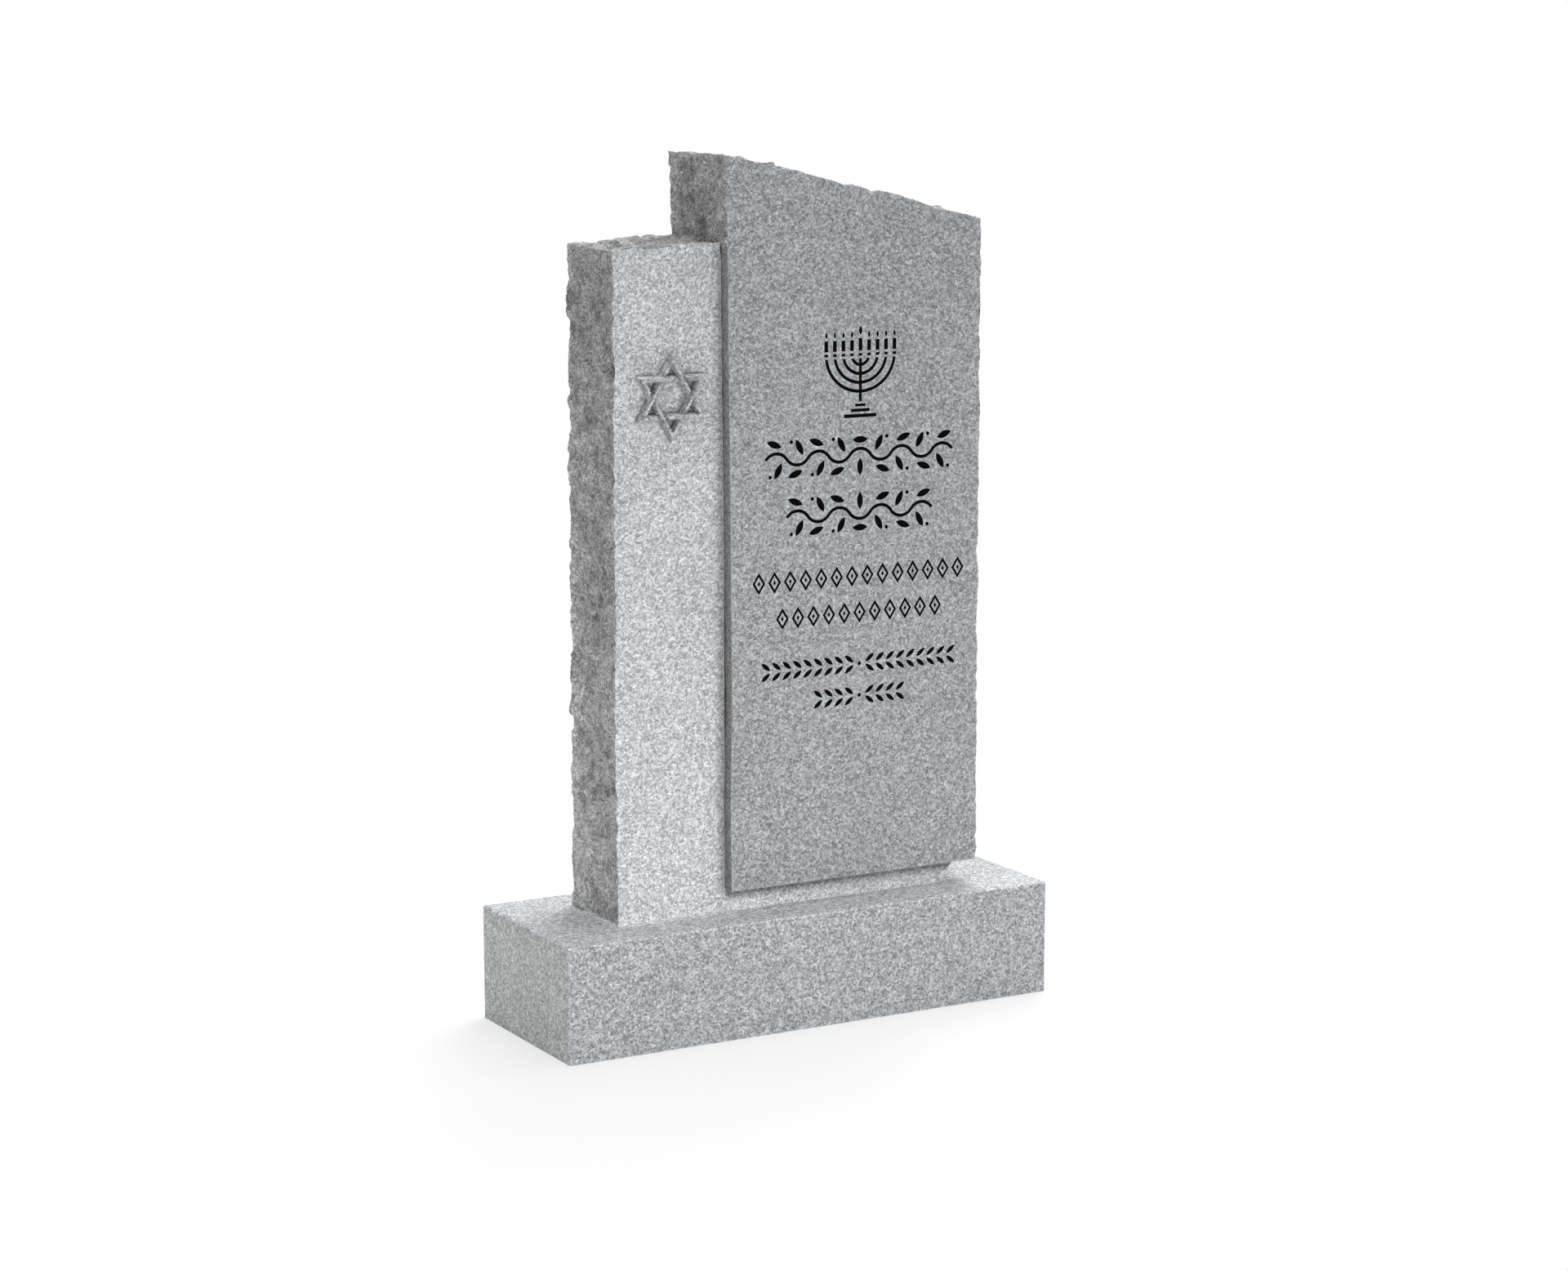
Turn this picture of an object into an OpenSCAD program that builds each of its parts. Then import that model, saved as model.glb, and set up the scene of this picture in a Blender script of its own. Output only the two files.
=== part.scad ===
// Upright granite headstone: a base stone, a lower wing stone with a ledge, and a taller
// tablet that stands on the ledge against the wing. A raised star sits on the wing.
// A menorah and rows of leaf and lozenge ornament are cut into the tablet and filled black.
// Millimetres, +Z up, front face towards -Y, origin under the middle of the base.

/* [Base stone] */
// Width of the base, left to right
base_w = 711; // [560:1:900]
// Depth of the base, front to back
base_d = 255; // [200:1:330]
// Height of the base
base_h = 151; // [100:1:220]
// Small chamfer on the base's upper and upright edges
base_arris = 2; // [0.5:0.5:6]

/* [Wing stone] */
// Distance of the upper stones' middle right of the base's middle
upper_shift = 11.5; // [0:0.5:40]
// Step from the base's back edge in to the back of both upper stones
back_inset = 59; // [20:1:80]
// Width of the wing beside the tablet
wing_w = 157; // [140:1:220]
// Thickness of the wing and its ledge
wing_d = 127; // [90:1:160]
// Height by which the wing's outer corner is below the tablet's tall corner
wing_drop = 114; // [60:1:300]
// Rise of the wing's broken top towards the tablet
wing_rise = 9.5; // [0:0.5:30]
// Height of the ledge that carries the tablet
ledge_h = 30; // [20:1:60]
// Step from the tablet's right side in to the ledge's end, at the top of the ledge
ledge_inset = 29; // [10:1:60]
// Slant of the ledge's broken end, from its top to its foot
ledge_slant = 21; // [0:1:40]

/* [Tablet] */
// Width of the tablet
tablet_w = 373; // [340:1:520]
// Height of the tablet at its tall left side
tablet_h = 942; // [760:1:1200]
// Fall of the tablet's top from left to right
tablet_fall = 89; // [0:1:160]
// Distance the tablet's face stands in front of the wing's face
tablet_proud = 17; // [8:0.5:40]
// Flare of the left side at the tablet's tall corner
tablet_flare = 7; // [0:0.5:12]

/* [Raised star] */
// Radius of the star, centre to point
star_r = 56.5; // [40:0.5:66]
// Width of each of the star's bands
star_band = 8.5; // [6:0.5:12]
// Height of the star above the wing's face
star_t = 11; // [6:0.5:16]
// Depth of the star's middle below the wing's outer top corner
star_drop = 187; // [90:1:400]
// Distance of the star's middle right of the wing's middle
star_shift = 1; // [0:0.5:8]

/* [Menorah] */
// Depth of the engraving below the tablet's face
engrave_depth = 2.5; // [1:0.5:6]
// Distance of the black filling's surface below the tablet's face
fill_recess = 0.4; // [0.2:0.1:0.8]
// Distance of the engraving's top below the tablet's tall corner
engrave_drop = 221; // [150:1:300]
// Distance of the engraving's middle line right of the tablet's middle
engrave_shift = 4; // [0:0.5:10]
// Spacing of the candles along the row
candle_pitch = 12.7; // [10:0.1:16]
// Width of a candle and of its cup
candle_w = 5.8; // [3:0.1:7]
// Height of a side candle
candle_h = 14; // [10:0.1:20]
// Extra height of the middle candle
middle_candle_extra = 2.3; // [0:0.1:6]
// Height of a side flame
flame_h = 8.2; // [6:0.1:12]
// Width of a side flame
flame_w = 3.7; // [2:0.1:5]
// Height of the middle flame
middle_flame_h = 11.4; // [8:0.1:14]
// Width of the middle flame
middle_flame_w = 5.2; // [3:0.1:7]
// Gap between a side candle and its flame
flame_gap = 2.7; // [2:0.1:6]
// Gap between the middle candle and its flame
middle_flame_gap = 4.1; // [2:0.1:6]
// Height of a cup under a candle
cup_h = 3.5; // [2:0.1:5]
// Gap above and below a cup
cup_gap = 3; // [2:0.1:5]
// Line width of the arms and the stem
stroke_w = 4.4; // [2:0.1:5]
// Depth of the innermost arm below the top of the stem
arm_first_drop = 8.3; // [6:0.1:12]
// Step in depth from one arm to the next
arm_step = 11.4; // [8:0.1:14]
// Height of the arms' shared middle above the top of the stem
arm_middle_rise = 5.1; // [0:0.1:10]
// Length of the stem
stem_h = 55.6; // [48:0.1:70]
// Height of the foot's top bar
foot_top_h = 3.7; // [2:0.1:5]
// Height of the foot's bottom bar
foot_bottom_h = 4.7; // [2:0.1:6]
// Gap above each bar of the foot
foot_gap = 2.7; // [2:0.1:5]
// Width of the foot's top bar
foot_top_w = 15.8; // [10:0.1:20]
// Width of the foot's bottom bar
foot_bottom_w = 48.8; // [30:0.1:60]

/* [Ornament rows] */
// Clear height between the menorah's foot and the first row
first_gap = 21; // [10:1:40]
// Height of a vine row
vine_h = 54; // [40:1:70]
// Gap between the two vine rows
vine_gap = 21; // [10:1:40]
// Length of one bend of the vine's stem
vine_bend = 31; // [24:1:40]
// Rise of each bend of the vine's stem
vine_rise = 8; // [4:1:12]
// Length of a vine leaf
vine_leaf = 23; // [14:1:26]
// Width of a vine leaf
vine_leaf_w = 9; // [5:0.5:11]
// Radius of a berry between the vine leaves
berry_r = 2.6; // [1.5:0.1:4]
// Clear height between two kinds of row
block_gap = 41; // [20:1:60]
// Height of a lozenge
lozenge_h = 29; // [20:1:40]
// Width of a lozenge
lozenge_w = 19; // [14:1:26]
// Line width of a lozenge
lozenge_line = 3.2; // [2:0.1:4]
// Gap between neighbouring lozenges
lozenge_space = 4; // [2:0.5:10]
// Gap between the two lozenge rows
lozenge_gap = 19; // [10:1:30]
// Height of a row of small leaves
sprig_h = 24; // [16:1:30]
// Gap between the two rows of small leaves
sprig_gap = 18; // [10:1:30]
// Spacing of the small leaves
sprig_pitch = 15.5; // [12:0.5:20]
// Length of a small leaf
sprig_leaf = 17; // [10:0.5:20]
// Width of a small leaf
sprig_leaf_w = 6; // [3:0.5:8]
// Bare margin from the tablet's side to the longest row
row_margin = 26; // [20:1:60]

/* [Hidden] */
$fn = 64;

// Stone colours and the black of the filled engraving
sawn_grey = [0.66, 0.67, 0.69];
frosted_grey = [0.76, 0.77, 0.78];
steeled_grey = [0.60, 0.61, 0.63];
fill_black = [0.03, 0.03, 0.03];

// Overshoot of a cutting solid past the face it cuts
over = 1;

// Places of the stones
back_y = base_d / 2 - back_inset;
wing_face_y = back_y - wing_d;
tablet_face_y = wing_face_y - tablet_proud;
wing_x = upper_shift - (wing_w + tablet_w) / 2;
tablet_x = wing_x + wing_w;
tablet_end_x = tablet_x + tablet_w;
tablet_z = base_h + ledge_h;
tablet_top_z = tablet_z + tablet_h;
wing_top_z = tablet_top_z - wing_drop;

// Bow of the tablet's left side: share of its height, then share of the flare to the left
side_bow = [
  [1.00, 1.00], [0.965, 0.72], [0.92, 0.50], [0.84, 0.42], [0.72, 0.32],
  [0.56, 0.10], [0.44, 0.00], [0.26, -0.22], [0.12, 0.16], [0.00, 0.00]
];
// Broken line of the tablet's top: share of its width, then height above the straight fall
top_break = [
  [1.00, 0.5], [0.90, 0.5], [0.81, -0.5], [0.72, 3.2], [0.655, 5.2], [0.62, 4.0], [0.56, -0.6],
  [0.50, 1.6], [0.45, -1.0], [0.37, 0.6], [0.31, 1.5], [0.245, 3.4], [0.19, -0.8],
  [0.13, -1.5], [0.09, 1.2], [0.05, -0.6]
];
// Broken line of the wing's top: share of its width, then share of its rise
wing_break = [
  [0, 0], [0.16, 0.30], [0.34, 0.25], [0.50, 0.55], [0.62, 0.85], [0.80, 0.80], [1, 1]
];

// Stack of the engraving, from its top down
engrave_x = tablet_x + tablet_w / 2 + engrave_shift;
engrave_top_z = tablet_top_z - engrave_drop;
middle_candle_h = candle_h + middle_candle_extra;
candle_z = engrave_top_z - middle_flame_h - middle_flame_gap - middle_candle_h;
cup_z = candle_z - cup_gap - cup_h;
stem_top_z = cup_z - cup_gap;
stem_z = stem_top_z - stem_h;
foot_middle_h = (foot_top_h + foot_bottom_h) / 2;
foot_z = stem_z - 3 * (foot_gap + foot_middle_h);
upper_vine_z = foot_z - first_gap - vine_h / 2;
lower_vine_z = upper_vine_z - vine_h - vine_gap;
upper_lozenge_z = lower_vine_z - vine_h / 2 - block_gap - lozenge_h / 2;
lower_lozenge_z = upper_lozenge_z - lozenge_h - lozenge_gap;
upper_sprig_z = lower_lozenge_z - lozenge_h / 2 - block_gap - sprig_h / 2;
lower_sprig_z = upper_sprig_z - sprig_h - sprig_gap;

// Row lengths and how many repeats fit in each
row_w = tablet_w - 2 * row_margin;
side_candles = 4;
lozenge_pitch = lozenge_w + lozenge_space;
upper_vine_bends = 2 * floor((row_w / vine_bend - 1) / 2) + 1;
lower_vine_bends = upper_vine_bends - 2;
upper_lozenges = floor((row_w + lozenge_space) / lozenge_pitch);
lower_lozenges = max(1, upper_lozenges - 3);
upper_sprigs = floor(row_w / sprig_pitch / 2) - 1;
lower_sprigs = max(1, upper_sprigs - 5);

// Size of a lozenge's solid middle as a share of the whole, turns of the leaves from level,
// and the vine leaves' distance from their bend's middle
core_share = 0.24;
hollow_leaf_turn = 62;
crest_leaf_turn = 20;
sprig_leaf_turn = 38;
leaf_step = 3;

function along(from, to, share) = from + (to - from) * share;

// ---- outlines in the X-Z plane ----

// Front view of the tablet, with its bowed left side and broken sloping top
module tablet_outline() {
  side = [for (p = side_bow) [tablet_x - tablet_flare * p[1], tablet_z + tablet_h * p[0]]];
  top = [for (p = top_break)
    [along(tablet_x, tablet_end_x, p[0]), tablet_top_z - tablet_fall * p[0] + p[1]]];
  polygon(concat([[tablet_end_x, tablet_z]], top, side));
}

// Front view of the wing and its ledge before the tablet's place is cut from it
module wing_outline() {
  ledge_end = tablet_end_x - ledge_inset;
  top = [for (p = wing_break)
    [along(wing_x, tablet_x, p[0]), wing_top_z + wing_rise * p[1]]];
  polygon(concat(
    [[wing_x, base_h]], top,
    [[tablet_x, tablet_z], [ledge_end, tablet_z], [ledge_end - ledge_slant, base_h]]
  ));
}

// Puts a shape drawn in X-Z at depth y and gives it a thickness towards the front
module upright(y, thickness) {
  translate([0, y, 0]) rotate([90, 0, 0]) linear_extrude(thickness) children();
}

// A filling that lies on the floor of the engraving and ends just below the tablet's face
module filling() {
  color(fill_black)
    upright(tablet_face_y + engrave_depth, engrave_depth - fill_recess) children();
}

// ---- small shapes of the engraving ----

// A pointed leaf from two arcs, centred, its length along X
module leaf(length, width) {
  r = (length * length + width * width) / (4 * width);
  intersection() {
    translate([0, r - width / 2]) circle(r);
    translate([0, width / 2 - r]) circle(r);
  }
}

// A ring sector between two angles that are less than 180 degrees apart
module arc_band(r, line, from, to) {
  reach = 2 * (r + line);
  mid = (from + to) / 2;
  intersection() {
    difference() {
      circle(r + line / 2);
      circle(r - line / 2);
    }
    polygon([
      [0, 0],
      reach * [cos(from), sin(from)],
      reach * [cos(mid), sin(mid)],
      reach * [cos(to), sin(to)]
    ]);
  }
}

// A bar with square ends, centred on x, standing on z
module bar(x, z, w, h) {
  translate([x - w / 2, z]) square([w, h]);
}

// ---- the menorah ----

module flames_2d() {
  middle_z = engrave_top_z - middle_flame_h / 2;
  side_z = candle_z + candle_h + flame_gap + flame_h / 2;
  translate([engrave_x, middle_z]) rotate(90) leaf(middle_flame_h, middle_flame_w);
  for (i = [-side_candles:side_candles])
    if (i != 0)
      translate([engrave_x + i * candle_pitch, side_z]) rotate(90) leaf(flame_h, flame_w);
}

module candles_2d() {
  for (i = [-side_candles:side_candles])
    bar(engrave_x + i * candle_pitch, candle_z, candle_w, i == 0 ? middle_candle_h : candle_h);
}

module cups_2d() {
  for (i = [-side_candles:side_candles])
    bar(engrave_x + i * candle_pitch, cup_z, candle_w, cup_h);
}

module stem_2d() {
  bar(engrave_x, stem_z, stroke_w, stem_h);
}

// One pair of arms, left and right of the stem: half an oval, cut level with the stem's top
module arm_2d(i) {
  reach = i * candle_pitch;
  drop = arm_middle_rise + arm_first_drop + (i - 1) * arm_step;
  intersection() {
    translate([engrave_x, stem_top_z + arm_middle_rise]) difference() {
      oval(reach + stroke_w / 2, drop + stroke_w / 2);
      oval(reach - stroke_w / 2, drop - stroke_w / 2);
    }
    union() {
      for (side = [-1, 1])
        bar(engrave_x + side * (stroke_w / 2 + reach), stem_z, 2 * reach, stem_h);
    }
  }
}

// An oval by its half width and half height
module oval(half_w, half_h) {
  polygon([for (a = [0:3:357]) [half_w * cos(a), half_h * sin(a)]]);
}

// Three bars, each wider and higher than the one above it
module foot_2d() {
  bar(engrave_x, stem_z - foot_gap - foot_top_h, foot_top_w, foot_top_h);
  bar(engrave_x, stem_z - 2 * foot_gap - foot_top_h - foot_middle_h,
    along(foot_top_w, foot_bottom_w, 3 / 8), foot_middle_h);
  bar(engrave_x, foot_z, foot_bottom_w, foot_bottom_h);
}

// ---- the ornament rows ----

// A wavy stem of equal arcs that bend up and down in turn
module vine_stem_2d(bends, z) {
  r = (vine_bend * vine_bend / 4 + vine_rise * vine_rise) / (2 * vine_rise);
  half = asin(vine_bend / 2 / r);
  for (i = [0:bends - 1]) {
    up = i % 2 == 0 ? 1 : -1;
    x = engrave_x + (i - (bends - 1) / 2) * vine_bend;
    translate([x, z - up * (r - vine_rise)])
      arc_band(r, stroke_w, up * 90 - half - 0.5, up * 90 + half + 0.5);
  }
}

// Leaves for each bend of the stem, the left half of the row a mirror image of the right
module vine_leaves_2d(bends, z) {
  mid = (bends - 1) / 2;
  for (i = [0:bends - 1])
    translate([engrave_x + (i - mid) * vine_bend, z])
      mirror([i < mid ? 1 : 0, 0])
        mirror([0, i % 2 == 0 ? 0 : 1])
          if (i == mid) middle_leaves(); else side_leaves();
}

// A level leaf over the crest of the middle bend and an upright one in its hollow
module middle_leaves() {
  translate([0, vine_h / 2 - vine_leaf_w / 2 - leaf_step]) leaf(vine_leaf, vine_leaf_w);
  translate([0, (vine_leaf - vine_h) / 2]) rotate(90) leaf(vine_leaf, vine_leaf_w);
}

// A leaf over the crest of a bend, a leaf in its hollow and a berry beside that
module side_leaves() {
  translate([leaf_step, vine_h / 2 - vine_leaf_w / 2 - leaf_step])
    rotate(crest_leaf_turn) leaf(vine_leaf, vine_leaf_w);
  translate([-leaf_step, (vine_leaf - vine_h) / 2 + 1])
    rotate(-hollow_leaf_turn) leaf(vine_leaf, vine_leaf_w);
  translate([vine_leaf_w, 2 * berry_r - vine_h / 2]) circle(berry_r);
}

// A chain of outlined lozenges, each with a small one in its middle
module lozenges_2d(count, z) {
  for (i = [0:count - 1])
    translate([engrave_x + (i - (count - 1) / 2) * lozenge_pitch, z]) {
      inner = 1 - 2 * lozenge_line * norm([lozenge_w, lozenge_h]) / lozenge_w / lozenge_h;
      difference() {
        lozenge(1);
        lozenge(inner);
      }
      lozenge(core_share);
    }
}

module lozenge(share) {
  w = lozenge_w * share / 2;
  h = lozenge_h * share / 2;
  polygon([[-w, 0], [0, -h], [w, 0], [0, h]]);
}

// Pairs of small leaves that point away from a round bead in the middle
module sprigs_2d(pairs, z) {
  rise = sprig_h / 2 - sprig_leaf * sin(sprig_leaf_turn) / 2;
  translate([engrave_x, z]) circle(berry_r);
  for (side = [-1, 1], up = [-1, 1], i = [1:pairs])
    translate([engrave_x + side * i * sprig_pitch, z + up * rise])
      rotate(side * up * sprig_leaf_turn) leaf(sprig_leaf, sprig_leaf_w);
}

// Everything that is engraved in the tablet's face
module engraving_2d() {
  flames_2d();
  candles_2d();
  cups_2d();
  stem_2d();
  for (i = [1:side_candles]) arm_2d(i);
  foot_2d();
  vine_stem_2d(upper_vine_bends, upper_vine_z);
  vine_leaves_2d(upper_vine_bends, upper_vine_z);
  vine_stem_2d(lower_vine_bends, lower_vine_z);
  vine_leaves_2d(lower_vine_bends, lower_vine_z);
  lozenges_2d(upper_lozenges, upper_lozenge_z);
  lozenges_2d(lower_lozenges, lower_lozenge_z);
  sprigs_2d(upper_sprigs, upper_sprig_z);
  sprigs_2d(lower_sprigs, lower_sprig_z);
}

// ---- the stones ----

// A block on the ground whose upper and upright edges are chamfered
module base_stone() {
  color(sawn_grey) intersection() {
    translate([-base_w / 2, -base_d / 2, 0]) cube([base_w, base_d, base_h]);
    linear_extrude(base_h) chamfered(base_w, -base_d / 2, base_d / 2, base_arris, base_arris);
    translate([0, base_d / 2, 0]) rotate([90, 0, 0])
      linear_extrude(base_d) chamfered(base_w, 0, base_h, 0, base_arris);
    translate([-base_w / 2, 0, 0]) rotate([90, 0, 90])
      linear_extrude(base_w) chamfered(base_d, 0, base_h, 0, base_arris);
  }
}

// A rectangle centred on X from low to high, with its own chamfer at each height
module chamfered(w, low, high, low_cut, high_cut) {
  half = w / 2;
  polygon([
    [-half, low + low_cut], [-half + low_cut, low], [half - low_cut, low],
    [half, low + low_cut], [half, high - high_cut], [half - high_cut, high],
    [-half + high_cut, high], [-half, high - high_cut]
  ]);
}

module wing_stone() {
  color(frosted_grey) difference() {
    upright(back_y, wing_d) wing_outline();
    upright(back_y + over, wing_d + 2 * over) tablet_outline();
  }
}

module tablet() {
  color(steeled_grey) difference() {
    upright(back_y, back_y - tablet_face_y) tablet_outline();
    upright(tablet_face_y + engrave_depth, engrave_depth + over) engraving_2d();
  }
}

// ---- the star ----

// One flat triangle frame, point up for turn 0 and point down for turn 180
module triangle_frame(turn) {
  rotate(turn) difference() {
    triangle(star_r);
    triangle(star_r - 2 * star_band);
  }
}

module triangle(r) {
  polygon([for (a = [90, 210, 330]) r * [cos(a), sin(a)]]);
}

// One triangle that passes over the other at every second crossing and under it between
module star_triangle(turn) {
  star_x = wing_x + wing_w / 2 + star_shift;
  half_t = star_t / 2;
  translate([star_x, wing_face_y, wing_top_z - star_drop]) rotate([90, 0, 0]) difference() {
    linear_extrude(star_t) triangle_frame(turn);
    for (a = [0:60:300]) {
      passes_over = (a / 60 + turn / 180) % 2 == 0;
      translate([0, 0, passes_over ? -over : half_t]) linear_extrude(half_t + over)
        intersection() {
          triangle_frame(turn + 180);
          rotate(a) translate([star_r * 0.3, -star_r * 0.25]) square([star_r * 0.5, star_r * 0.5]);
        }
    }
  }
}

module star_upright_triangle() {
  color(frosted_grey) star_triangle(0);
}

module star_inverted_triangle() {
  color(frosted_grey) star_triangle(180);
}

// ---- the fillings ----

module menorah_flames() {
  filling() flames_2d();
}

module menorah_candles() {
  filling() candles_2d();
}

module menorah_cups() {
  filling() cups_2d();
}

module menorah_arm(i) {
  filling() arm_2d(i);
}

module menorah_stem() {
  filling() stem_2d();
}

module menorah_foot() {
  filling() foot_2d();
}

module vine_stem(bends, z) {
  filling() vine_stem_2d(bends, z);
}

module vine_leaves(bends, z) {
  filling() vine_leaves_2d(bends, z);
}

module lozenge_row(count, z) {
  filling() lozenges_2d(count, z);
}

module sprig_row(pairs, z) {
  filling() sprigs_2d(pairs, z);
}

base_stone();
wing_stone();
tablet();
star_upright_triangle();
star_inverted_triangle();
menorah_flames();
menorah_candles();
menorah_cups();
menorah_arm(1);  // menorah_arm_1
menorah_arm(2);  // menorah_arm_2
menorah_arm(3);  // menorah_arm_3
menorah_arm(4);  // menorah_arm_4
menorah_stem();
menorah_foot();
vine_stem(upper_vine_bends, upper_vine_z);  // upper_vine_stem
vine_leaves(upper_vine_bends, upper_vine_z);  // upper_vine_leaves
vine_stem(lower_vine_bends, lower_vine_z);  // lower_vine_stem
vine_leaves(lower_vine_bends, lower_vine_z);  // lower_vine_leaves
lozenge_row(upper_lozenges, upper_lozenge_z);  // upper_lozenge_row
lozenge_row(lower_lozenges, lower_lozenge_z);  // lower_lozenge_row
sprig_row(upper_sprigs, upper_sprig_z);  // upper_sprig_row
sprig_row(lower_sprigs, lower_sprig_z);  // lower_sprig_row
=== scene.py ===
"""Looks of the upright granite headstone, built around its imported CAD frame. Metres, front towards -Y."""

import math

import bpy
import numpy as np
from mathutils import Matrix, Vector, noise
from mathutils.geometry import delaunay_2d_cdt


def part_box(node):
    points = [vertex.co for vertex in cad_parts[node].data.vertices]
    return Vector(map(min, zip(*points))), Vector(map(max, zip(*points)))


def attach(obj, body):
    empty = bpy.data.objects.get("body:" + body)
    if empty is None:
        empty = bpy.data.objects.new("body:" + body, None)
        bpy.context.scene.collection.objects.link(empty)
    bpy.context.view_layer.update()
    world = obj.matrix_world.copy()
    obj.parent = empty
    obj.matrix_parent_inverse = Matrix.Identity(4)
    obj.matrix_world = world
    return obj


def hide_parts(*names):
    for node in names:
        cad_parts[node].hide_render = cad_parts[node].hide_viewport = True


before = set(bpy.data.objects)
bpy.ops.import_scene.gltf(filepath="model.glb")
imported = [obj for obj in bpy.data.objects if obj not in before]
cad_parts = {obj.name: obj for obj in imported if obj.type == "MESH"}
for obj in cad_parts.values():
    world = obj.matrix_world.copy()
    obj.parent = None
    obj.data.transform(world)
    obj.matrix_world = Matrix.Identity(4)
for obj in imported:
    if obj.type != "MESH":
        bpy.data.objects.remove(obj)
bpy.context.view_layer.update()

MM = 0.001

# How near a flat face of the CAD, or a side of it that may slant a little, counts as on it, and how
# much of a unit normal points to the front on a face that counts as facing it
ON_FACE = 0.02 * MM
ON_SIDE = 0.5 * MM
FACING = 0.9

# Places that the CAD model gives. The tablet's left side leans out, so its foot ends further right
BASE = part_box("base_stone")
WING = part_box("wing_stone")
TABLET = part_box("tablet")
WING_FACE_Y = WING[0].y
TABLET_FACE_Y = TABLET[0].y
BACK_Y = TABLET[1].y
WING_TOP = WING[1].z
TABLET_FOOT = TABLET[0].z
tablet_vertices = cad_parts["tablet"].data.vertices
TABLET_FOOT_X = min(v.co.x for v in tablet_vertices if v.co.z < TABLET_FOOT + ON_SIDE)

# Rock-pitched stone: sizes and depths of its facets, of the dents in them and of its grit, how far its
# ridges stand out of the plane, the share of all that which is left at the front and back arrises, and
# how far behind them it is whole again
FACET = 42 * MM
FACET_DEPTH = 8 * MM
DENT = 17 * MM
DENT_DEPTH = 5 * MM
GRIT = 4 * MM
GRIT_DEPTH = 0.9 * MM
RIDGE = 4.5 * MM
FRONT_SHARE = 0.3
BACK_SHARE = 0.5
ARRIS_REACH = 12 * MM

# Facets of size and depth 1: how far and how quickly their borders wander, how much they differ in
# height and in slope, and how wide the soft seam between two of them is
FACET_WANDER = 0.3
WANDER_RATE = 1.3
FACET_LEVEL = 0.3
FACET_SLOPE = 0.75
FACET_SEAM = 0.16

# Randomness: places of the noises that make one wandering vector, the way that a seed moves a pattern,
# how far apart the facets read a field of random values, and the seeds. DENT_SEED is added to a stone's
DRIFT_OFFSETS = (Vector((0, 0, 0)), Vector((31.4, 7.7, 12.1)), Vector((5.9, 43.2, 27.6)))
SEED_WAY = (1, 0.37, 0.71)
FACET_SPREAD = 37.7
BASE_SEED = 5.3
BASE_CORNER_SEED = 9.1
WING_SEED = 1.7
TABLET_SEED = 7.9
DENT_SEED = 3

# Arrises: how far a stone's, the base's and the one at the joint beside the tablet are cut back at the
# very edge, how deep behind it that ends, and how far to the left of the joint and below it its sharp
# arris reaches. Chips: their size, their depths on broken and on sawn sides, the exponent, ratio and
# octaves of their noise, and how common they are
SAWN_ARRIS = 0.5 * MM
BASE_ARRIS = 1.8 * MM
JOINT_ARRIS = 0.2 * MM
ARRIS_DEPTH = 2.2 * MM
JOINT_BAND = (5 * MM, 1 * MM)
CHIP = 9 * MM
CHIP_DEPTH = 2.5 * MM
SAWN_CHIP_DEPTH = 0.5 * MM
CHIP_NOISE = (0.6, 2.1, 3)
CHIP_COVER = 0.15

# Where the broken faces leave their planes. The wing's top: the height of its broken band, how far it
# falls at the front and rises at the back, and the share of the band in which the rise grows. The
# tablet's tall left side: how far it swells at the front and at the back, how far that reaches along
# the top, how much it lifts the corner, and from how far below the wing's top it is full. The ledge's
# end: its swell and its share of the roughness
TOP_BAND = 12 * MM
WING_TOP_FALL = 3.5 * MM
WING_BACK_LIFT = 1.5 * MM
LIFT_BEGINS = 0.2
TALL_SWELL = (1.2 * MM, 6.5 * MM)
TALL_SWELL_REACH = 45 * MM
TALL_LIFT = 2 * MM
TALL_FROM = 4 * MM
END_SWELL = 5 * MM
END_ROUGHNESS = 0.5

# Which points of an outline are on a side: the ledge's end from this far right of the column, the
# tablet's left side up to this far from its box's left, and its top down to this far from its box's top
LEDGE_END = 40 * MM
LEFT_ZONE = 15 * MM
TOP_ZONE = 120 * MM

# Meshes: the step along a broken side and between a stone's rings, the steps along flat sides and along
# the base, the step between the base's rings, the depths of the close rings behind an arris, how far
# off a corner the normals turn, and the angle from which edges are sharp
STEP = 2.6 * MM
FLAT_STEP = 12 * MM
BASE_STEP = 5 * MM
BASE_RING_STEP = 6 * MM
ARRIS_RINGS = (0, 0.7 * MM, 1.6 * MM, 2.8 * MM, 4.6 * MM)
CORNER_REACH = 10 * MM
SHARP_ANGLE = math.radians(50)

# The star's bands: width, height of their side walls, shares of the width where their flat top starts
# and ends, what is left of their height where they dip, length of the slope into a dip, sections along
# each side, and how much and from which angle their edges are eased
STAR_BAND = 8.5 * MM
STAR_WALL = 4.5 * MM
STAR_TOP = (0.3, 0.7)
STAR_DIP = 0.45
STAR_SLOPE = 2 * MM
STAR_STEPS = 60
STAR_EASE = 0.7 * MM
STAR_EASE_ANGLE = math.radians(25)

# Granite: sizes of its crystals, specks, clouds, pits and the broken faces' patches, the palest grey
# that it may have, its specular level, and the shares of the pits and the crystals in its bumps
GRAIN = 3.1 * MM
SPECK = 1.8 * MM
CLOUD = 70 * MM
PITS = 1.3 * MM
BLOTCH = 22 * MM
PALEST = 0.9
GRANITE_SPECULAR = 0.35
PIT_SHARE = 0.6
CRYSTAL_SHARE = 0.4

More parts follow.
